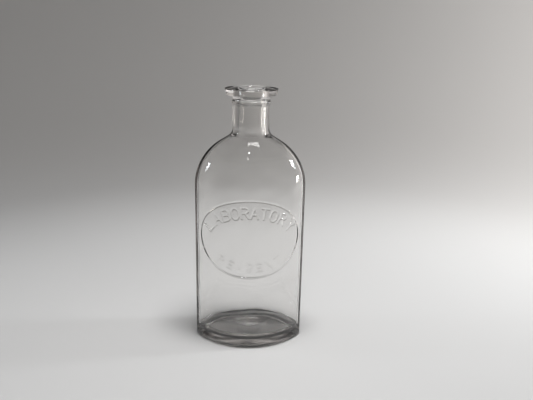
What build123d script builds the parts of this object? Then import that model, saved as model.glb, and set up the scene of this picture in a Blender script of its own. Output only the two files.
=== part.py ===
from build123d import *
import os
from math import atan, cos, degrees, hypot, pi, radians, sin, sqrt, tan

os.makedirs("parts", exist_ok=True)

# Reagent bottle of mould-blown glass, in millimetres. The barrel is a flattened oval in
# plan: a shallow arc in front and a deeper one behind meet in an upright edge at each
# side. The neck and the lip are round. The origin is on the neck's axis at the foot,
# +Z runs up that axis, and the raised oval faces -Y.

# ---- driving dimensions ----

height = 165.9
half_width = 35.0           # to the line where the two arcs would meet
front_depth = 19.5          # of the front arc, from the line between the side edges
back_depth = 25.5
edge_y = -3.0               # the side edges stand a little in front of the neck's axis
barrel_wall = 2.3

shoulder_slope = 30         # degrees from level, seen from the front
shoulder_apex = 144.0       # where the shoulder's straight slope meets the axis
shoulder_round = 33.0       # barrel into shoulder
shoulder_wall = 2.6
neck_round = 6.0            # shoulder into neck
neck_radius = 11.3
bore_radius = 7.4

heel_round = 1.4
inner_heel_round = 2.6
floor_thickness = 3.4
foot_rim = 5.0              # the foot stands on a rim this wide
push_up = 0.8               # hollow under the foot
push_up_slope = 40          # degrees of the hollow's sides from upright

lip_radius = 16.7           # flat flange at the mouth, before its edge is rounded
lip_underside_radius = 15.3
lip_thickness = 5.2
mouth_round = 1.5
collar_radius = 11.9        # small ring tooled under the flange
groove_radius = 11.2

oval_height = 74.6          # centre of the raised oval above the foot
oval_half_angle = 48        # degrees round the front arc
oval_half_height = 25.0
bead_width = 1.0
relief = 0.55               # how far the bead and the letters stand out
stroke = 1.0

# Where the glass is divided, from the foot up
base_top = 12.0
barrel_top = 101.5
shoulder_top = 143.0
neck_top = 155.3


# ---- plans: two arcs that meet in an edge at each side ----

def plan(width, front, back, middle):
    """Plan of the body at one level."""
    with BuildSketch() as outline:
        with BuildLine():
            ThreePointArc((-width, middle), (0, middle - front), (width, middle))
            ThreePointArc((width, middle), (0, middle + back), (-width, middle))
        make_face()
    return outline.sketch


def barrel_plan(inset):
    """Plan of the barrel, moved in by inset."""
    return plan(half_width - inset, front_depth - inset, back_depth - inset, edge_y)


def shoulder_plan(width, inset, neck):
    """Plan of the shoulder where it has this half width: the barrel's, nearing a circle."""
    share = (width - neck) / (half_width - inset - neck)
    front = neck + (front_depth - inset - neck) * share
    back = neck + (back_depth - inset - neck) * share
    return plan(width, front, back, edge_y * share)


# ---- base: thick floor, rounded heel and a shallow hollow under the foot ----

with BuildPart() as floor_space:
    with BuildSketch(Plane.XY.offset(floor_thickness)):
        add(barrel_plan(barrel_wall))
    extrude(amount=base_top)
    fillet(floor_space.edges().group_by(Axis.Z)[0], radius=inner_heel_round)

with BuildPart() as base:
    with BuildSketch():
        add(barrel_plan(0))
    extrude(amount=base_top)
    fillet(base.edges().group_by(Axis.Z)[0], radius=heel_round)
    with BuildSketch():
        add(barrel_plan(foot_rim))
    extrude(amount=push_up, taper=push_up_slope, mode=Mode.SUBTRACT)
    add(floor_space.part, mode=Mode.SUBTRACT)


# ---- barrel: straight walls, the same plan all the way up ----

with BuildPart() as barrel:
    with BuildSketch(Plane.XY.offset(base_top)):
        add(barrel_plan(0))
        add(barrel_plan(barrel_wall), mode=Mode.SUBTRACT)
    extrude(amount=barrel_top - base_top)


# ---- shoulder: from the barrel's plan to the round neck ----

def shoulder_levels(inset, wall, neck):
    """Points (half width, height) up the shoulder from the barrel to the neck."""
    drop = tan(radians(shoulder_slope))
    apex = shoulder_apex - wall / cos(radians(shoulder_slope))
    width = half_width - inset
    outline = FilletPolyline(
        (width, barrel_top),
        (width, apex - width * drop),
        (neck, apex - neck * drop),
        (neck, shoulder_top),
        radius=(shoulder_round - wall, neck_round),
    )
    steps = 10
    return [outline @ (step / steps) for step in range(steps + 1)]


def fill_shoulder(inset, wall, neck):
    """Solid that fills the shoulder's outline, moved in by inset."""
    levels = shoulder_levels(inset, wall, neck)
    with BuildPart() as filled:
        for level in levels:
            with BuildSketch(Plane.XY.offset(level.Y)):
                add(shoulder_plan(level.X, inset, neck))
        loft()
    return filled.part


outer_shoulder = fill_shoulder(0, 0, neck_radius)
inner_shoulder = fill_shoulder(barrel_wall, shoulder_wall, bore_radius)

with BuildPart() as shoulder:
    add(outer_shoulder)
    add(inner_shoulder, mode=Mode.SUBTRACT)


# ---- neck: a straight tube ----

with BuildPart() as neck:
    with BuildSketch(Plane.XY.offset(shoulder_top)):
        Circle(neck_radius)
        Circle(bore_radius, mode=Mode.SUBTRACT)
    extrude(amount=neck_top - shoulder_top)


# ---- applied lip: a collar, a groove and the flat flange round the mouth ----

flange_bottom = height - lip_thickness

with BuildPart() as applied_lip:
    with BuildSketch(Plane.XZ):
        with BuildLine():
            FilletPolyline(
                (bore_radius, neck_top),
                (neck_radius, neck_top),
                (collar_radius, neck_top + 0.6),
                (collar_radius, neck_top + 1.9),
                (groove_radius, neck_top + 3.0),
                (groove_radius + 2.0, flange_bottom - 0.6),
                (lip_underside_radius, flange_bottom),
                (lip_radius, height),
                (bore_radius, height),
                radius=(0, 0, 0.4, 0.5, 0.6, 0.8, 0.6, 0.9, mouth_round),
                close=True,
            )
        make_face()
    revolve(axis=Axis.Z)


# ---- raised work: a thin skin over the front arc that the bead and letters are cut from ----

front_radius = (half_width**2 + front_depth**2) / (2 * front_depth)
front_axis_y = edge_y - front_depth + front_radius
skin_bottom = oval_height - oval_half_height - 3
skin_height = 2 * oval_half_height + 6

with BuildPart() as skin:
    with BuildSketch(Plane.XY.offset(skin_bottom)):
        with Locations((0, front_axis_y)):
            Circle(front_radius + relief)
            Circle(front_radius, mode=Mode.SUBTRACT)
    extrude(amount=skin_height)


# ---- oval frame: an ellipse wrapped round the front arc ----

def wrapped_ellipse(grow):
    """Points (across, up) of the wrapped ellipse from the front, made larger by grow."""
    half_length = radians(oval_half_angle) * front_radius + grow
    half_rise = oval_half_height + grow
    turns = [2 * pi * step / 48 for step in range(48)]
    return [
        (front_radius * sin(half_length * cos(t) / front_radius), oval_height + half_rise * sin(t))
        for t in turns
    ]


with BuildPart() as oval_frame:
    with BuildSketch(Plane.XZ):
        with BuildLine():
            Spline(wrapped_ellipse(bead_width / 2), periodic=True)
        make_face()
        with BuildLine():
            Spline(wrapped_ellipse(-bead_width / 2), periodic=True)
        make_face(mode=Mode.SUBTRACT)
    extrude(amount=2 * front_depth)
    add(skin.part, mode=Mode.INTERSECT)


# ---- raised lettering: capitals of round-ended strokes ----

# Each letter is strokes through points of a box one unit wide and one unit high.
bowl = [(0, 0.5), (0, 1), (0.7, 1), (0.95, 0.85), (0.95, 0.65), (0.7, 0.5), (0, 0.5)]
round_body = [(0.3, 0), (0, 0.25), (0, 0.75), (0.3, 1), (0.7, 1), (1, 0.75)]
alphabet = {
    "A": [[(0, 0), (0.5, 1), (1, 0)], [(0.18, 0.35), (0.82, 0.35)]],
    "B": [bowl, [(0, 0.5), (0, 0), (0.7, 0), (1, 0.15), (1, 0.35), (0.7, 0.5)]],
    "E": [[(1, 1), (0, 1), (0, 0), (1, 0)], [(0, 0.5), (0.8, 0.5)]],
    "G": [round_body, [(0.3, 0), (0.7, 0), (1, 0.2), (1, 0.45), (0.6, 0.45)]],
    "L": [[(0, 1), (0, 0), (1, 0)]],
    "N": [[(0, 0), (0, 1), (1, 0), (1, 1)]],
    "O": [round_body, [(1, 0.75), (1, 0.25), (0.7, 0), (0.3, 0)]],
    "R": [bowl, [(0, 0.5), (0, 0)], [(0.5, 0.5), (1, 0)]],
    "T": [[(0, 1), (1, 1)], [(0.5, 1), (0.5, 0)]],
    "Y": [[(0, 1), (0.5, 0.5), (1, 1)], [(0.5, 0.5), (0.5, 0)]],
}


def draw_letter(letter, width, tall):
    """Add a letter's strokes to the open sketch, centred on its origin."""
    for points in alphabet[letter]:
        for (x0, y0), (x1, y1) in zip(points, points[1:]):
            across = (x1 - x0) * width
            up = (y1 - y0) * tall
            middle = ((x0 + x1 - 1) * width / 2, (y0 + y1 - 1) * tall / 2)
            with Locations(Location(middle, degrees(atan(up / across)) if across else 90)):
                SlotCenterToCenter(hypot(across, up), stroke)


def letter_plane(angle, half_angle, half_rise):
    """Plane on the front arc's axis that faces out at an angle from the front.

    The letter stands on a wrapped ellipse inside the oval: half_rise is negative
    below the oval's centre, where the letters still read upright.
    """
    share = angle / half_angle
    rise = half_rise * sqrt(1 - share**2)
    climb = -half_rise * share / sqrt(1 - share**2) / (front_radius * radians(half_angle))
    tilt = atan(climb)
    turn = radians(angle)
    outward = Vector(sin(turn), -cos(turn), 0)
    level = Vector(cos(turn), sin(turn), 0)
    text_line = level * cos(tilt) + Vector(0, 0, 1) * sin(tilt)
    origin = (0, front_axis_y, oval_height + rise)
    return Plane(origin=origin, x_dir=text_line, z_dir=outward)


def build_word(word, pitch, half_angle, half_rise, width, tall):
    """One solid for each letter of a word, spread over the front arc."""
    with BuildPart() as letters:
        for index, letter in enumerate(word):
            angle = pitch * (index - (len(word) - 1) / 2)
            with BuildSketch(letter_plane(angle, half_angle, half_rise)):
                draw_letter(letter, width, tall)
            extrude(amount=1.2 * front_radius)
        add(skin.part, mode=Mode.INTERSECT)
    return letters.part


upper_lettering = build_word("LABORATORY", 8.4, 41.5, 17.5, 4.3, 6.8)
lower_lettering = build_word("REAGENT", 8.4, 38.5, -18.4, 3.8, 4.9)


# ---- write the parts ----

pieces = {
    "base": base.part,
    "barrel": barrel.part,
    "shoulder": shoulder.part,
    "neck": neck.part,
    "applied_lip": applied_lip.part,
    "oval_frame": oval_frame.part,
    "upper_lettering": upper_lettering,
    "lower_lettering": lower_lettering,
}
for name, piece in pieces.items():
    piece.label = name
    export_step(piece, f"parts/{name}.step")
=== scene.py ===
"""Reagent bottle: one piece of mould-blown glass with a tooled lip and a raised oval.

The CAD frame gives every size that shows; what it hides, such as the wall's
thickness, is a named field of the class that makes the glass.
"""
import logging
import math
from dataclasses import dataclass, field
from enum import Enum
from typing import Any, Callable

import bpy
import numpy as np
from mathutils import Matrix, Vector


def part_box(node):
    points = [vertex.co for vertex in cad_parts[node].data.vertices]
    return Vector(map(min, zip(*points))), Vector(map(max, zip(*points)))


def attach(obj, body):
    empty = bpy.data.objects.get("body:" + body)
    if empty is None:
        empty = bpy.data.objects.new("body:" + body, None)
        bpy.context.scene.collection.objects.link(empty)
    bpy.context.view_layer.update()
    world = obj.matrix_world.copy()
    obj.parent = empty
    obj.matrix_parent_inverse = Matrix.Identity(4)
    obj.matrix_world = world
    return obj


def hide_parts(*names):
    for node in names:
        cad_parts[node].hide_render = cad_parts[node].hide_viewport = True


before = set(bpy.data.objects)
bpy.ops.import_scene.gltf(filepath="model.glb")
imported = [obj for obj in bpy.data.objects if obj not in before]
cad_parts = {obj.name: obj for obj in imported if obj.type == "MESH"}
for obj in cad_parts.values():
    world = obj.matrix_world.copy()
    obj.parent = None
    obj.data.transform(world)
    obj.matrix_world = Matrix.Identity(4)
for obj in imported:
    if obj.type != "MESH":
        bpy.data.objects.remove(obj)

log = logging.getLogger("reagent_bottle")
MM = 0.001


# ---------------------------------------------------------------- operators

def deselect_all() -> None:
    """Leave edit mode and deselect every object."""
    if bpy.context.object and bpy.context.object.mode != "OBJECT":
        bpy.ops.object.mode_set(mode="OBJECT")
    bpy.ops.object.select_all(action="DESELECT")


def activate(piece: bpy.types.Object) -> None:
    """Select one object alone and make it active.

    Args:
        piece: The object to work on.
    """
    deselect_all()
    piece.select_set(True)
    bpy.context.view_layer.objects.active = piece


def apply_modifier(piece: bpy.types.Object, kind: str, **settings: Any) -> None:
    """Add a modifier, set it and apply it.

    Args:
        piece: The object that takes the modifier.
        kind: Blender's name of the modifier's type.
        **settings: The modifier's properties.
    """
    activate(piece)
    modifier = piece.modifiers.new(kind.title(), kind)
    for name, value in settings.items():
        setattr(modifier, name, value)
    bpy.ops.object.modifier_apply(modifier=modifier.name)


def points_of(piece: bpy.types.Object) -> np.ndarray:
    """Read a mesh's vertices.

    Args:
        piece: The object to read.

    Returns:
        One row of x, y and z for each vertex, in metres.
    """
    places = np.empty(len(piece.data.vertices) * 3)
    piece.data.vertices.foreach_get("co", places)
    return places.reshape(-1, 3)


def weigh(piece: bpy.types.Object, name: str, weights: np.ndarray) -> None:
    """Give a piece a vertex group.

    Args:
        piece: The piece that takes the group.
        name: The group's name.
        weights: One weight for each vertex; zeros are left out.
    """
    group = piece.vertex_groups.new(name=name)
    for index in np.flatnonzero(weights > 0):
        group.add([int(index)], float(weights[index]), "REPLACE")


# ---------------------------------------------------------------- lathe work

@dataclass(frozen=True)
class Corner:
    """A corner of a lathed outline, in metres.

    Attributes:
        radius: Distance from the axis.
        height: Height above the foot's plane.
        rounding: Radius of the arc that rounds the corner.
        spacing: Largest gap between rings on the run that ends here.
    """

    radius: float
    height: float
    rounding: float = 0.0
    spacing: float = 3 * MM

    @property
    def place(self) -> Vector:
        """The corner as a flat vector."""
        return Vector((self.radius, self.height))


@dataclass(frozen=True)
class Outline:
    """A lathed outline: corners joined by straight runs and arcs."""

    corners: list[Corner]
    arc_spacing: float = 0.5 * MM
    fewest_steps: int = 5
    most_steps: int = 26

    def arc(self, before: Corner, corner: Corner, after: Corner) -> list[Vector]:
        """Trace the arc that rounds a corner.

        Args:
            before: The corner before it.
            corner: The corner to round.
            after: The corner after it.

        Returns:
            The arc's points, or the corner itself where it is sharp.
        """
        if corner.rounding <= 0:
            return [corner.place]
        back = (before.place - corner.place).normalized()
        ahead = (after.place - corner.place).normalized()
        opening = back.angle(ahead)
        reach = corner.rounding / math.tan(opening / 2)
        depth = corner.rounding / math.sin(opening / 2)
        centre = corner.place + (back + ahead).normalized() * depth
        start = corner.place + back * reach - centre
        turn = math.pi - opening
        if start.x * ahead.y - start.y * ahead.x < 0:
            turn = -turn
        wanted = round(corner.rounding * abs(turn) / self.arc_spacing)
        steps = max(self.fewest_steps, min(self.most_steps, wanted))
        spokes = [Matrix.Rotation(turn * step / steps, 2) @ start for step in range(steps + 1)]
        return [centre + spoke for spoke in spokes]

    def points(self) -> list[Vector]:
        """Trace the whole outline.

        Returns:
            Points from the first corner to the last, close enough for smooth glass.
        """
        traced = [self.corners[0].place]
        for index in range(1, len(self.corners)):
            corner = self.corners[index]
            if index + 1 < len(self.corners):
                stretch = self.arc(self.corners[index - 1], corner, self.corners[index + 1])
            else:
                stretch = [corner.place]
            start = traced[-1]
            run = stretch[0] - start
            steps = max(1, math.ceil(run.length / corner.spacing))
            traced += [start + run * step / steps for step in range(1, steps)]
            traced += stretch
        return traced


def lathe(name: str, points: list[Vector], columns: int) -> bpy.types.Object:
    """Extrude an outline point by point and spin it round the Z axis.

    Args:
        name: The new piece's name.
        points: The outline, as radius and height.
        columns: How many steps the full turn takes.

    Returns:
        A closed piece with merged poles and outward faces.
    """
    deselect_all()
    bpy.ops.mesh.primitive_plane_add(size=MM, location=(0, 0, 0))
    piece = bpy.context.object
    piece.name = name
    piece.data.name = name
    bpy.ops.object.mode_set(mode="EDIT")
    bpy.ops.mesh.select_mode(type="VERT")
    bpy.ops.mesh.merge(type="CENTER")
    bpy.ops.transform.translate(value=(points[0].x, 0, points[0].y))
    for here, there in zip(points, points[1:]):
        step = there - here
        bpy.ops.mesh.extrude_vertices_move(TRANSFORM_OT_translate={"value": (step.x, 0, step.y)})
    bpy.ops.mesh.select_all(action="SELECT")
    bpy.ops.mesh.spin(steps=columns, angle=math.tau, center=(0, 0, 0), axis=(0, 0, 1))
    bpy.ops.mesh.select_all(action="SELECT")
    bpy.ops.mesh.remove_doubles(threshold=0.002 * MM)
    bpy.ops.mesh.normals_make_consistent(inside=False)
    bpy.ops.object.mode_set(mode="OBJECT")
    return piece


# ---------------------------------------------------------------- shader maths

class Value:
    """A shader socket that takes part in Python arithmetic."""

    def __init__(self, shader: "Shader", socket: bpy.types.NodeSocket) -> None:
        """Wrap a node's output socket."""
        self.shader = shader
        self.socket = socket

    def math(self, operation: str, *others: Any) -> "Value":
        """Add a Math node that starts with this value.

        Args:
            operation: The Math node's operation.
            *others: The other operands, as numbers or values.

        Returns:
            The node's result.
        """
        return self.shader.math(operation, self, *others)

    def __add__(self, other: Any) -> "Value":
        """Sum."""
        return self.math("ADD", other)

    __radd__ = __add__

    def __sub__(self, other: Any) -> "Value":
        """Difference."""
        return self.math("SUBTRACT", other)

    def __rsub__(self, other: Any) -> "Value":
        """Difference from a number."""
        return self.shader.math("SUBTRACT", other, self)

    def __mul__(self, other: Any) -> "Value":
        """Product."""
        return self.math("MULTIPLY", other)

    __rmul__ = __mul__

    def __pow__(self, other: Any) -> "Value":
        """Power."""
        return self.math("POWER", other)


class Shader:
    """A material's node tree, built by expressions."""

    def __init__(self, name: str) -> None:
        """Start an empty material.

        Args:
            name: The material's name.
        """
        self.material = bpy.data.materials.new(name)
        self.material.use_nodes = True
        self.tree = self.material.node_tree
        self.tree.nodes.clear()
        self.output = self.node("ShaderNodeOutputMaterial")

    def node(
        self, kind: str, settings: dict[str, Any] | None = None, **sockets: Any
    ) -> bpy.types.Node:
        """Add a node, set it, then fill or link its sockets.

        Args:
            kind: The node's type.
            settings: Its properties, set before any socket.
            **sockets: Values or links by socket name, with _ for a space.

        Returns:
            The new node.
        """
        node = self.tree.nodes.new(kind)
        for name, value in (settings or {}).items():
            setattr(node, name, value)
        for name, value in sockets.items():
            label = name.replace("_", " ")
            named = [socket for socket in node.inputs if socket.name == label and socket.enabled]
            self.plug(named[0], value)
        return node

    def plug(self, socket: bpy.types.NodeSocket, value: Any) -> None:
        """Link a socket to a value, or set it to a constant.

        Args:
            socket: The input socket.
            value: A Value, an output socket or a constant.
        """
        if isinstance(value, Value):
            value = value.socket
        if isinstance(value, bpy.types.NodeSocket):
            self.tree.links.new(value, socket)
        else:
            socket.default_value = value

    def math(self, operation: str, *operands: Any) -> Value:
        """Add a Math node.

        Args:
            operation: The node's operation.
            *operands: Numbers or values, in order.

        Returns:
            The node's result.
        """
        node = self.node("ShaderNodeMath", {"operation": operation})
        for socket, operand in zip(node.inputs, operands):
            self.plug(socket, operand)
        return Value(self, node.outputs["Value"])

    def ease(self, value: Value, low: float, high: float) -> Value:
        """Turn a value smoothly from 0 at low to 1 at high.

        Args:
            value: The value to read.
            low: Where the result is 0.
            high: Where the result is 1.

        Returns:
            The eased value.
        """
        ramp = self.node(
            "ShaderNodeMapRange",
            {"interpolation_type": "SMOOTHSTEP"},
            Value=value, From_Min=low, From_Max=high, To_Min=0.0, To_Max=1.0,
        )
        return Value(self, ramp.outputs["Result"])

    def place(self, axis: str) -> Value:
        """Read one Object coordinate.

        Args:
            axis: X, Y or Z.

        Returns:
            The coordinate, in metres.
        """
        where = self.node("ShaderNodeTexCoord")
        split = self.node("ShaderNodeSeparateXYZ", Vector=where.outputs["Object"])
        return Value(self, split.outputs[axis])

    def noise(
        self, size: float, detail: float = 2.0, stretch: tuple[float, float, float] = (1, 1, 1)
    ) -> Value:
        """Add a noise pattern in Object coordinates.

        Args:
            size: The pattern's grain, in metres.
            detail: How many finer layers it has.
            stretch: How much longer the grain is along each axis.

        Returns:
            The noise, from 0 to 1.
        """
        where = self.node("ShaderNodeTexCoord")
        scale = tuple(1 / along for along in stretch)
        mapped = self.node("ShaderNodeMapping", Vector=where.outputs["Object"], Scale=scale)
        grain = self.node(
            "ShaderNodeTexNoise", Vector=mapped.outputs["Vector"], Scale=1 / size, Detail=detail
        )
        return Value(self, grain.outputs["Fac"])


# ---------------------------------------------------------------- finishes

@dataclass(frozen=True)
class OldGlass:
    """Clear old glass: wavy, handled, and faintly purple-brown where it is thick.

    Attributes:
        surface_tint: Colour that the surface lets through.
        body_tint: Colour that thick glass tends to.
        depth_density: How fast the tint grows with depth, per metre.
        clean_roughness: Roughness of untouched glass.
        worn_roughness: Roughness of the ring that the bottle stands on.
        foot_wear: Height to which the foot is scuffed.
        haze: Roughness that handling adds in patches.
        ripple: Depth of the fine waves in the surface.
        refraction: The glass's refractive index.
    """

    surface_tint: tuple[float, float, float, float] = (0.985, 0.985, 0.98, 1.0)
    body_tint: tuple[float, float, float, float] = (0.80, 0.745, 0.72, 1.0)
    depth_density: float = 26.0
    clean_roughness: float = 0.012
    worn_roughness: float = 0.28
    foot_wear: float = 1.2 * MM
    haze: float = 0.05
    ripple: float = 0.035 * MM
    refraction: float = 1.51

    def build(self) -> bpy.types.Material:
        """Build the material.

        Returns:
            The glass, with its absorption in the volume.
        """
        shader = Shader("old_glass")
        height = shader.place("Z")
        worn = 1 - shader.ease(height, 0.2 * MM, self.foot_wear)
        patches = shader.ease(shader.noise(14 * MM, 4), 0.48, 0.75)
        roughness = self.clean_roughness + self.haze * patches + self.worn_roughness * worn
        waves = shader.noise(9 * MM, 1, (1, 1, 3))
        pits = shader.ease(shader.noise(0.9 * MM, 3), 0.66, 0.8)
        bump = shader.node(
            "ShaderNodeBump", Distance=self.ripple, Strength=1.0, Height=waves - 0.12 * pits
        )
        surface = shader.node(
            "ShaderNodeBsdfPrincipled",
            Base_Color=self.surface_tint,
            Roughness=roughness,
            Metallic=0.0,
            IOR=self.refraction,
            Transmission_Weight=1.0,
            Normal=bump.outputs["Normal"],
        )
        depth = shader.node(
            "ShaderNodeVolumeAbsorption", Color=self.body_tint, Density=self.depth_density
        )
        shader.plug(shader.output.inputs["Surface"], surface.outputs["BSDF"])
        shader.plug(shader.output.inputs["Volume"], depth.outputs["Volume"])
        return shader.material


@dataclass(frozen=True)
class StudioPaper:
    """Matt paper with painted light and shade: pale under the bottle as a painted pool of light,
    greyer towards the wall as painted shade.

    Attributes:
        pale: Its tone under the bottle, the painted pool of light.
        grey: Its tone at the wall, painted shade.
        painted_light_reach: Distance from the bottle where the painted light starts to turn into
            painted shade.
        painted_shade_reach: Distance where it is all painted shade.
        painted_glow: A glow painted into the paper in its pale tone, standing in for fill light
            from a pale room.
    """

    pale: tuple[float, float, float, float] = (0.612, 0.607, 0.602, 1.0)
    grey: tuple[float, float, float, float] = (0.385, 0.374, 0.365, 1.0)
    # The painted pool of light fades into painted shade between these two reaches.
    painted_light_reach: float = 0.18
    painted_shade_reach: float = 0.62
    # A painted glow, not a lamp.
    painted_glow: float = 0.03

    def build(self) -> bpy.types.Material:
        """Build the material.

        Returns:
            The graduated paper.
        """
        shader = Shader("studio_paper")
        away = (shader.place("X") ** 2 + shader.place("Y") ** 2) ** 0.5
        # Painted light falloff: pale near the bottle, with painted shade growing greyer towards the
        # wall.
        tone = shader.node(
            "ShaderNodeMix", {"data_type": "RGBA"},
            Factor=shader.ease(away, self.painted_light_reach, self.painted_shade_reach), A=self.pale, B=self.grey,
        )
        # The paper glows faintly: painted fill light that lifts its shade everywhere.
        surface = shader.node(
            "ShaderNodeBsdfPrincipled", Base_Color=tone.outputs[2], Roughness=0.9,
            Emission_Color=self.pale, Emission_Strength=self.painted_glow,
        )
        shader.plug(shader.output.inputs["Surface"], surface.outputs["BSDF"])
        return shader.material


# ---------------------------------------------------------------- the oval plan

ROUND_SHARE = 1e-3  # below this share of the oval, a plan counts as a circle


@dataclass(frozen=True)
class OvalPlan:
    """Plans of one skin of the body: two arcs that meet at rounded side edges.

    Attributes:
        width: Half width of the barrel.
        front: How far the front arc stands out from the line between the side edges.
        back: How far the back arc stands out.
        middle: Where that line lies along Y.
        neck: Radius of the circle that the plan becomes at the neck.
        edge: Radius of the rounded side edge.
        heel: How far in from the wall the foot or the floor turns level.
        barrel_top: Height where the plan starts to change.
        neck_root: Height from which it is a circle.
        edge_columns: Angles between which the lathe's columns go round a side edge.
    """

    width: float
    front: float
    back: float
    middle: float
    neck: float
    edge: float
    heel: float
    barrel_top: float
    neck_root: float
    edge_columns: tuple[float, float] = (math.radians(78), math.radians(102))

    @property
    def front_radius(self) -> float:
        """Radius of the front arc."""
        return (self.width**2 + self.front**2) / (2 * self.front)

    @property
    def front_axis(self) -> float:
        """Where the front arc's axis lies along Y."""
        return self.middle - self.front + self.front_radius

    def lay(self, places: np.ndarray) -> np.ndarray:
        """Move round, lathed points to the oval plan.

        Args:
            places: Points whose distance from the axis is the half width there.

        Returns:
            The points on the oval, at the same heights.
        """
        across = np.hypot(places[:, 0], places[:, 1])
        turn = np.arctan2(places[:, 0], -places[:, 1])
        above = places[:, 2] > self.barrel_top
        share = np.where(above, np.clip((across - self.neck) / (self.width - self.neck), 0, 1), 1.0)
        share = np.where(places[:, 2] > self.neck_root, 0.0, share)
        level = self.width - self.heel
        inset = np.where(above, 0, np.minimum(self.width - across, self.heel))
        scale = np.where(above, 1, np.clip(across / level, 0, 1))
        width = np.where(above, across, self.width - inset)
        neck = np.minimum(self.neck, across)
        front = np.where(above, neck + (self.front - self.neck) * share, self.front - inset)
        back = np.where(above, neck + (self.back - self.neck) * share, self.back - inset)
        is_round = above & (share < ROUND_SHARE)
        front = np.where(is_round, across, front)
        back = np.where(is_round, across, back)
        x, y = self.trace(width, front, back, self.middle * share, share, turn)
        return np.stack([x * scale, y * scale, places[:, 2]], 1)

    def trace(
        self,
        width: np.ndarray,
        front: np.ndarray,
        back: np.ndarray,
        middle: np.ndarray,
        share: np.ndarray,
        turn: np.ndarray,
    ) -> tuple[np.ndarray, np.ndarray]:
        """Find points of the plan, one for each column of the lathe.

        Args:
            width: Half width of the plan at each point.
            front: Depth of its front arc.
            back: Depth of its back arc.
            middle: Place of the line between the side edges.
            share: 1 for the barrel's plan, 0 for a circle.
            turn: The column's angle from the front.

        Returns:
            The points' X and Y.
        """
        is_round = share < ROUND_SHARE
        front_radius = (width**2 + front**2) / (2 * front)
        back_radius = (width**2 + back**2) / (2 * back)
        front_y = middle - front + front_radius
        back_y = middle + back - back_radius
        edge = np.minimum(self.edge, 0.5 * width)
        gap = np.where(is_round, 1.0, front_y - back_y)
        reach_front = front_radius - edge
        reach_back = back_radius - edge
        lift = (front_y**2 - back_y**2 - reach_front**2 + reach_back**2) / (2 * gap)
        edge_y = np.where(is_round, 0.0, lift)
        edge_x = np.sqrt(np.maximum(reach_front**2 - (edge_y - front_y) ** 2, 0))
        front_end = np.arctan2(edge_x, front_y - edge_y)
        back_end = math.pi - np.arctan2(edge_x, edge_y - back_y)
        side = np.abs(turn)
        first, last = self.edge_columns
        spread = np.where(
            side < first,
            side / first * front_end,
            np.where(
                side < last,
                front_end + (side - first) / (last - first) * (back_end - front_end),
                back_end + (side - last) / (math.pi - last) * (math.pi - back_end),
            ),
        )
        normal = share * spread + (1 - share) * side
        on_front = normal <= front_end
        on_back = normal >= back_end
        radius = np.where(on_front, front_radius, np.where(on_back, back_radius, edge))
        centre_x = np.where(on_front | on_back, 0, edge_x)
        centre_y = np.where(on_front, front_y, np.where(on_back, back_y, edge_y))
        x = (centre_x + radius * np.sin(normal)) * np.sign(turn)
        return x, centre_y - radius * np.cos(normal)


# ---------------------------------------------------------------- raised work

STROKES: dict[str, list[list[tuple[float, float]]]] = {
    "A": [[(0, 0), (0.5, 1), (1, 0)], [(0.18, 0.35), (0.82, 0.35)]],
    "B": [
        [(0, 0.5), (0, 1), (0.7, 1), (0.95, 0.85), (0.95, 0.65), (0.7, 0.5), (0, 0.5)],
        [(0, 0.5), (0, 0), (0.7, 0), (1, 0.15), (1, 0.35), (0.7, 0.5)],
    ],
    "E": [[(1, 1), (0, 1), (0, 0), (1, 0)], [(0, 0.5), (0.8, 0.5)]],
    "G": [
        [(0.3, 0), (0, 0.25), (0, 0.75), (0.3, 1), (0.7, 1), (1, 0.75)],
        [(0.3, 0), (0.7, 0), (1, 0.2), (1, 0.45), (0.6, 0.45)],
    ],
    "L": [[(0, 1), (0, 0), (1, 0)]],
    "N": [[(0, 0), (0, 1), (1, 0), (1, 1)]],
    "O": [
        [(0.3, 0), (0, 0.25), (0, 0.75), (0.3, 1), (0.7, 1), (1, 0.75)],
        [(1, 0.75), (1, 0.25), (0.7, 0), (0.3, 0)],
    ],
    "R": [
        [(0, 0.5), (0, 1), (0.7, 1), (0.95, 0.85), (0.95, 0.65), (0.7, 0.5), (0, 0.5)],
        [(0, 0.5), (0, 0)],
        [(0.5, 0.5), (1, 0)],
    ],
    "T": [[(0, 1), (1, 1)], [(0.5, 1), (0.5, 0)]],
    "Y": [[(0, 1), (0.5, 0.5), (1, 1)], [(0.5, 0.5), (0.5, 0)]],
}


def swell(distance: np.ndarray, half_width: float) -> np.ndarray:
    """Round a raised line's section.

    Args:
        distance: Distance from the line's middle.
        half_width: Where the line dies into the wall.

    Returns:
        Height from 0 to 1.
    """
    inside = np.clip(1 - (distance / half_width) ** 2, 0, 1)
    return inside**1.5


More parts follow.
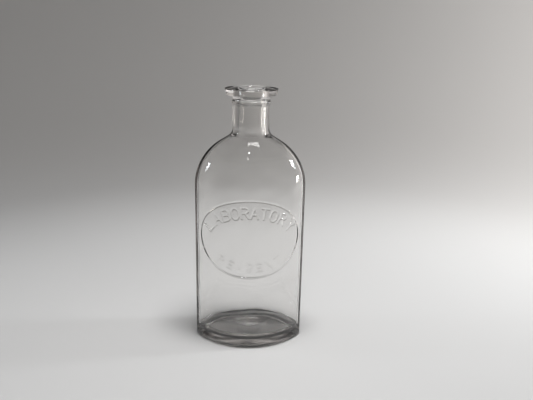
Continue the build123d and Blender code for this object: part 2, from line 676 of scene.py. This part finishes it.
@dataclass(frozen=True)
class Word:
    """A word in raised capitals inside the oval, laid out on the unrolled front arc.

    Attributes:
        letters: The word.
        half_angle: Half width of the ellipse that the letters stand on, in degrees.
        half_height: Its half height, negative below the oval's centre.
        letter_width: Width between the outer strokes' middles.
        letter_height: Height between the outer strokes' middles.
        pitch: Angle from letter to letter round the front arc, in degrees.
        strength: How well the mould filled, from 0 to 1.
    """

    letters: str
    half_angle: float
    half_height: float
    letter_width: float
    letter_height: float
    pitch: float = 8.4
    strength: float = 1.0

    def height_at(self, spots: np.ndarray, radius: float, stroke: float) -> np.ndarray:
        """Work out how far the word stands out at each place.

        Args:
            spots: Places round and up the front arc, from the oval's centre.
            radius: The front arc's radius.
            stroke: Half width of a stroke where it dies into the wall.

        Returns:
            A height from 0 to 1 for each place.
        """
        raised = np.zeros(len(spots))
        for index, letter in enumerate(self.letters):
            angle = self.pitch * (index - (len(self.letters) - 1) / 2)
            share = angle / self.half_angle
            rise = self.half_height * math.sqrt(1 - share**2)
            half_length = math.radians(self.half_angle) * radius
            tilt = math.atan(-self.half_height * share / math.sqrt(1 - share**2) / half_length)
            side = spots[:, 0] - math.radians(angle) * radius
            up = spots[:, 1] - rise
            along = side * math.cos(tilt) + up * math.sin(tilt)
            above = up * math.cos(tilt) - side * math.sin(tilt)
            near = np.hypot(along, above) < self.letter_height
            spot = np.stack([along[near], above[near]], 1)
            for chain in STROKES[letter]:
                ends = (np.array(chain) - 0.5) * (self.letter_width, self.letter_height)
                for start, end in zip(ends, ends[1:]):
                    run = end - start
                    reach = np.clip((spot - start) @ run / (run @ run), 0, 1)
                    gap = np.linalg.norm(spot - start - reach[:, None] * run, axis=1)
                    raised[near] = np.maximum(raised[near], swell(gap, stroke))
        return self.strength * raised


@dataclass(frozen=True)
class RaisedWork:
    """The oval bead and the two words, raised on the front of the barrel.

    Attributes:
        relief: How far the bead stands out.
        letter_relief: How far the letters stand out.
        line_half_width: Half width of a raised line where it dies into the wall.
        half_angle: Half the bead's width round the front arc.
        bead_width: Width of the bead in the frame.
        margin: How far beyond the bead the wall is divided finely.
        fine_cuts: Cuts that divide each face there.
        words: The words inside the oval.
    """

    relief: float = 0.5 * MM
    letter_relief: float = 0.48 * MM
    line_half_width: float = 0.75 * MM
    half_angle: float = math.radians(48)
    bead_width: float = 1.0 * MM
    margin: float = 2.5 * MM
    fine_cuts: int = 4
    words: tuple[Word, ...] = (
        Word("LABORATORY", 41.5, 17.5 * MM, 4.3 * MM, 6.8 * MM),
        Word("REAGENT", 38.5, -18.4 * MM, 3.8 * MM, 4.9 * MM, strength=0.8),
    )

    def box(self) -> tuple[Vector, Vector]:
        """Find the oval's box with a margin round it.

        Returns:
            Its lowest and highest corners.
        """
        low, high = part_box("oval_frame")
        edge = Vector((self.margin, self.margin, self.margin))
        return Vector(low) - edge, Vector(high) + edge

    def front_faces(
        self, places: np.ndarray, plan: OvalPlan, wall: float, beyond: float
    ) -> np.ndarray:
        """Pick the places on the outside of the front arc round the oval.

        Args:
            places: Points of the glass.
            plan: The outside's plan.
            wall: The wall's thickness.
            beyond: How far above and below the oval's box to reach.

        Returns:
            Whether each place is picked.
        """
        low, high = self.box()
        reach = np.hypot(places[:, 0], places[:, 1] - plan.front_axis)
        picked = reach > plan.front_radius - wall / 2
        picked &= (places[:, 1] < plan.middle) & (np.abs(places[:, 0]) < high.x)
        return picked & (places[:, 2] > low.z - beyond) & (places[:, 2] < high.z + beyond)

    def refine(self, piece: bpy.types.Object, plan: OvalPlan, wall: float) -> None:
        """Divide the faces under the raised work finely.

        Args:
            piece: The glass.
            plan: The outside's plan.
            wall: The wall's thickness.
        """
        activate(piece)
        bpy.ops.object.mode_set(mode="EDIT")
        bpy.ops.mesh.select_mode(type="FACE")
        bpy.ops.mesh.select_all(action="DESELECT")
        bpy.ops.object.mode_set(mode="OBJECT")
        faces = piece.data.polygons
        middles = np.array([face.center for face in faces])
        faces.foreach_set("select", self.front_faces(middles, plan, wall, 0.0))
        bpy.ops.object.mode_set(mode="EDIT")
        bpy.ops.mesh.subdivide(number_cuts=self.fine_cuts)
        bpy.ops.object.mode_set(mode="OBJECT")

    def bead(self, spots: np.ndarray, radius: float) -> np.ndarray:
        """Work out the oval bead's height at each place.

        Args:
            spots: Places round and up the front arc, from the oval's centre.
            radius: The front arc's radius.

        Returns:
            A height from 0 to 1 for each place.
        """
        low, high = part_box("oval_frame")
        half = np.array((self.half_angle * radius, (high[2] - low[2] - self.bead_width) / 2))
        level = np.linalg.norm(spots / half, axis=1) + 1e-9
        slope = np.linalg.norm(spots / half**2, axis=1) / level
        return swell(np.abs(level - 1) / (slope + 1e-9), self.line_half_width)

    def raise_on(self, piece: bpy.types.Object, plan: OvalPlan, wall: float) -> None:
        """Lay the divided faces on the true front arc and raise the bead and letters.

        Args:
            piece: The glass, already refined.
            plan: The outside's plan.
            wall: The wall's thickness.
        """
        low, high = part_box("oval_frame")
        places = points_of(piece)
        zone = self.front_faces(places, plan, wall, 3 * MM)
        inward = places[zone, 1] - plan.front_axis
        angle = np.arctan2(places[zone, 0], -inward)
        radius = plan.front_radius
        spots = np.stack([angle * radius, places[zone, 2] - (high[2] + low[2]) / 2], 1)
        height = self.relief * self.bead(spots, radius)
        for word in self.words:
            letters = word.height_at(spots, radius, self.line_half_width)
            height = np.maximum(height, self.letter_relief * letters)
        places[zone, 0] = (radius + height) * np.sin(angle)
        places[zone, 1] = plan.front_axis - (radius + height) * np.cos(angle)
        piece.data.vertices.foreach_set("co", places.ravel())
        piece.data.update()


# ---------------------------------------------------------------- the bottle

@dataclass
class GlassBottle:
    """The whole glass: foot, barrel, shoulder, neck and applied lip in one skin.

    Attributes:
        columns: Facets round the full turn.
        wall: Thickness of the barrel's wall.
        shoulder_wall: Thickness of the shoulder.
        floor: Thickness of the base.
        bore: Radius inside the neck.
        push_up: Depth of the hollow under the foot.
        foot_rim: Width of the rim that the bottle stands on.
        heel_round: Rounding of the heel.
        inner_heel: Rounding between the floor and the inner wall.
        shoulder_round: Rounding from the barrel into the shoulder.
        neck_round: Rounding from the shoulder into the neck.
        shoulder_slope: The shoulder's slope from level.
        shoulder_apex: Height where the slope meets the axis.
        front_share: The front arc's part of the barrel's depth.
        side_edge: Rounding of the outer side edges.
        inner_side_edge: Rounding of the inner side edges.
        unevenness: How far the inner wall wanders, from crest to hollow.
        unevenness_size: Width of one of its swells.
        calm_below: Height above the floor over which the swells grow.
        calm_above: Height under the lip over which they fade.
    """

    finish: OldGlass
    raised: RaisedWork = field(default_factory=RaisedWork)
    columns: int = 180
    wall: float = 2.3 * MM
    shoulder_wall: float = 2.6 * MM
    floor: float = 3.4 * MM
    bore: float = 7.4 * MM
    push_up: float = 0.8 * MM
    foot_rim: float = 5.0 * MM
    heel_round: float = 1.4 * MM
    inner_heel: float = 2.6 * MM
    shoulder_round: float = 33.0 * MM
    neck_round: float = 6.0 * MM
    shoulder_slope: float = math.radians(30)
    shoulder_apex: float = 144.0 * MM
    front_share: float = 19.5 / 45
    side_edge: float = 1.6 * MM
    inner_side_edge: float = 4.0 * MM
    unevenness: float = 1.0 * MM
    unevenness_size: float = 22 * MM
    calm_below: float = 10 * MM
    calm_above: float = 6 * MM

    def __post_init__(self) -> None:
        """Read the barrel's plan from the frame."""
        low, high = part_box("barrel")
        depth = high[1] - low[1]
        front = depth * self.front_share
        middle = low[1] + front
        self.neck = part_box("neck")[1][0]
        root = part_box("neck")[0][2]
        self.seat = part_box("applied_lip")[0][2]
        self.outside = OvalPlan(
            high[0], front, depth - front, middle,
            self.neck, self.side_edge, self.heel_round, high[2], root,
        )
        self.inside = OvalPlan(
            high[0] - self.wall, front - self.wall, depth - front - self.wall, middle,
            self.bore, self.inner_side_edge, self.inner_heel, high[2], root,
        )

    def slope(self, radius: float, inset: float, rounding: float, spacing: float) -> Corner:
        """Find the shoulder slope's corner at a half width.

        Args:
            radius: The half width.
            inset: How far the slope is moved in from the outside.
            rounding: The corner's rounding.
            spacing: Largest gap between rings on the run that ends here.

        Returns:
            The corner.
        """
        apex = self.shoulder_apex - inset / math.cos(self.shoulder_slope)
        return Corner(radius, apex - radius * math.tan(self.shoulder_slope), rounding, spacing)

    def lip_corners(self) -> list[Corner]:
        """Draw the applied lip: collar, groove, flange and mouth, from the neck up.

        Returns:
            The lip's corners.
        """
        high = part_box("applied_lip")[1]
        seat, rim = self.seat, high[2]
        edge = high[0] + 0.25 * MM  # the corner that the rounding takes back to the box
        return [
            Corner(self.neck, seat, 0, 1.5 * MM),
            Corner(self.neck + 0.6 * MM, seat + 0.6 * MM, 0.4 * MM, MM),
            Corner(self.neck + 0.6 * MM, seat + 1.9 * MM, 0.5 * MM, MM),
            Corner(self.neck - 0.1 * MM, seat + 3.0 * MM, 0.6 * MM, MM),
            Corner(self.neck + 1.9 * MM, rim - 5.8 * MM, 0.8 * MM, MM),
            Corner(edge - 1.4 * MM, rim - 5.2 * MM, 0.6 * MM, MM),
            Corner(edge, rim, 0.9 * MM, MM),
            Corner(self.bore, rim, 1.5 * MM, 1.5 * MM),
        ]

    def outline(self) -> Outline:
        """Draw the glass's section from the foot's middle round to the floor's.

        Returns:
            The closed skin's outline, seen from the front.
        """
        outer, inner = self.outside.width, self.inside.width
        inner_round = self.shoulder_round - self.shoulder_wall
        rim = outer - self.foot_rim
        zone_low, zone_high = self.raised.box()
        return Outline([
            Corner(0, self.push_up),
            Corner(rim - 3 * MM, self.push_up, 6 * MM),
            Corner(rim, 0, 3 * MM),
            Corner(outer, 0, self.heel_round, 1.5 * MM),
            Corner(outer, zone_low.z, 0, 3 * MM),
            Corner(outer, zone_high.z, 0, 1.25 * MM),
            self.slope(outer, 0, self.shoulder_round, 3 * MM),
            self.slope(self.neck, 0, self.neck_round, 1.5 * MM),
            *self.lip_corners(),
            self.slope(self.bore, self.shoulder_wall, self.neck_round, 1.5 * MM),
            self.slope(inner, self.shoulder_wall, inner_round, 1.5 * MM),
            Corner(inner, self.floor, self.inner_heel, 3 * MM),
            Corner(0, self.floor),
        ])

    def lay_on_plans(self, glass: bpy.types.Object, outer_points: int) -> None:
        """Give the lathed glass its oval plan, outside and inside.

        Args:
            glass: The lathed glass.
            outer_points: How many of the outline's points lie outside the mouth.
        """
        places = points_of(glass)
        reach = np.hypot(places[:, 0], places[:, 1])
        outline = np.array([point[:] for point in self.outline().points()])
        spot = np.stack([reach, places[:, 2]], 1)
        nearest = np.argmin(np.linalg.norm(spot[:, None] - outline[None], axis=2), axis=1)
        outer = nearest < outer_points
        places[outer] = self.outside.lay(places[outer])
        places[~outer] = self.inside.lay(places[~outer])
        glass.data.vertices.foreach_set("co", places.ravel())
        glass.data.update()
        rise = np.clip((places[:, 2] - 2 * self.floor) / self.calm_below, 0, 1)
        fall = np.clip((self.seat - places[:, 2]) / self.calm_above, 0, 1)
        weigh(glass, "inner_wall", np.where(outer, 0.0, rise * fall))

    def unsettle(self, glass: bpy.types.Object) -> None:
        """Make the blown inner wall uneven, as the air left it.

        Args:
            glass: The glass, laid on its plans, whose group marks the inner wall.
        """
        texture = bpy.data.textures.new("blown_wall", "CLOUDS")
        texture.noise_scale = self.unevenness_size
        texture.noise_depth = 1
        apply_modifier(
            glass, "DISPLACE", texture=texture, texture_coords="LOCAL", vertex_group="inner_wall",
            strength=self.unevenness, mid_level=0.5,
        )

    def build(self) -> bpy.types.Object:
        """Lathe the skin, lay it on its plans, raise the work on it, and dress it.

        Returns:
            The finished glass.
        """
        points = self.outline().points()
        glass = lathe("bottle_glass", points, self.columns)
        top = max(range(len(points)), key=lambda index: points[index].y)
        self.lay_on_plans(glass, top)
        self.unsettle(glass)
        self.raised.refine(glass, self.outside, self.wall)
        self.raised.raise_on(glass, self.outside, self.wall)
        activate(glass)
        bpy.ops.object.shade_smooth()
        glass.data.materials.append(self.finish.build())
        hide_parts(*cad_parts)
        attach(glass, "root")
        log.info("bottle_glass: %d vertices", len(glass.data.vertices))
        return glass


# ---------------------------------------------------------------- studio

@dataclass(frozen=True)
class Studio:
    """A round paper studio: a level floor that curves up into a low wall.

    Attributes:
        radius: The wall's distance from the bottle.
        bend: Radius of the curve from floor to wall.
        height: The wall's height.
        spacing: Largest gap between the floor's and the wall's rings.
        columns: Facets round the full turn.
    """

    radius: float = 0.75
    bend: float = 0.35
    height: float = 0.55
    spacing: float = 0.1
    columns: int = 96

    def build(self) -> bpy.types.Object:
        """Lathe the floor, the bend and the wall.

        Returns:
            The studio.
        """
        section = Outline(
            [
                Corner(0, 0),
                Corner(self.radius, 0, self.bend, self.spacing),
                Corner(self.radius, self.height, 0, self.spacing),
            ],
            arc_spacing=0.02,
        )
        paper = lathe("paper_studio", section.points(), self.columns)
        activate(paper)
        bpy.ops.object.shade_smooth()
        paper.data.materials.append(StudioPaper().build())
        return paper


class Panel(Enum):
    """The studio's soft lights: place, aim, size and strength."""

    OVERHEAD = ((0.04, -0.06, 0.60), (0.04, -0.05, 0), (0.20, 0.12), 2.95, (1.0, 1.0, 1.0))
    LAMP = ((-0.05, -0.60, 0.62), (0, 0, 0.1), (0.05, 0.05), 0.25, (1.0, 1.0, 1.0))
    WASH = ((0.42, 0.16, 0.46), (0.66, 0.50, 0.14), (0.30, 0.20), 2.0, (1.0, 0.98, 0.96))
    RIGHT = ((0.62, 0.08, 0.06), (0.25, 0.40, 0.12), (0.17, 0.12), 1.3, (1.0, 0.96, 0.88))
    HIGH_RIGHT = ((0.52, 0.06, 0.27), (0.25, 0.35, 0.1), (0.08, 0.08), 1.1, (0.93, 0.97, 1.0))
    LEFT = ((-0.66, 0.02, 0.05), (0, 0, 0.1), (0.08, 0.06), 0.30, (1.0, 0.98, 0.95))
    HIGH_LEFT = ((-0.55, 0.02, 0.24), (0, 0, 0.1), (0.05, 0.07), 0.30, (0.88, 0.94, 1.0))

    def build(self) -> bpy.types.Object:
        """Hang the light and aim it.

        Returns:
            The light's object.
        """
        place, aim, size, power, colour = self.value
        lamp = bpy.data.lights.new(self.name.lower(), "AREA")
        lamp.shape = "RECTANGLE"
        lamp.size, lamp.size_y = size
        lamp.energy = power
        lamp.color = colour
        holder = bpy.data.objects.new(self.name.lower(), lamp)
        bpy.context.scene.collection.objects.link(holder)
        holder.visible_camera = False  # its light shows, the panel doesn't
        holder.location = place
        holder.rotation_euler = (Vector(aim) - Vector(place)).to_track_quat("-Z", "Y").to_euler()
        return holder


@dataclass(frozen=True)
class Viewpoint:
    """The camera, by its distance from the bottle's axis and its angles.

    Attributes:
        distance: Distance in front of the axis.
        height: Height above the floor.
        down: How far it looks down.
        aside: How far it turns to the right.
        roll: How far it leans.
        lens: Focal length, in millimetres.
    """

    distance: float = 0.345
    height: float = 0.1948
    down: float = math.radians(16.25)
    aside: float = math.radians(1.75)
    roll: float = math.radians(1.29)
    lens: float = 37.82

    def build(self) -> bpy.types.Object:
        """Place the camera and make it the scene's.

        Returns:
            The camera's object.
        """
        camera = bpy.data.cameras.new("viewpoint")
        camera.lens = self.lens
        camera.sensor_width = 36
        camera.sensor_fit = "HORIZONTAL"
        camera.dof.use_dof = False
        holder = bpy.data.objects.new("viewpoint", camera)
        bpy.context.scene.collection.objects.link(holder)
        turn = Matrix.Rotation(-self.aside, 4, "Z")
        turn = turn @ Matrix.Rotation(math.pi / 2 - self.down, 4, "X")
        turn = turn @ Matrix.Rotation(self.roll, 4, "Z")
        holder.matrix_world = Matrix.Translation((0, -self.distance, self.height)) @ turn
        bpy.context.scene.camera = holder
        return holder


def light_room(strength: float, colour: tuple[float, float, float, float]) -> None:
    """Fill the room with even light.

    Args:
        strength: The world's brightness.
        colour: Its colour.
    """
    world = bpy.data.worlds.new("room")
    world.use_nodes = True
    world.node_tree.nodes["Background"].inputs["Color"].default_value = colour
    world.node_tree.nodes["Background"].inputs["Strength"].default_value = strength
    bpy.context.scene.world = world


def main() -> None:
    """Build the bottle, then the studio, lights and camera round it, and log the vertex count and
    the lights.
    """
    logging.basicConfig(level=logging.INFO, format="%(name)s: %(message)s")
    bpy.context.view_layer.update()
    GlassBottle(OldGlass()).build()
    Studio().build()
    for panel in Panel:
        panel.build()
        log.info("light: %s", panel.name.lower())
    light_room(0.01, (0.9, 0.93, 1.0, 1.0))
    bpy.context.scene.view_settings.view_transform = "Standard"
    Viewpoint().build()


if __name__ == "__main__":
    main()
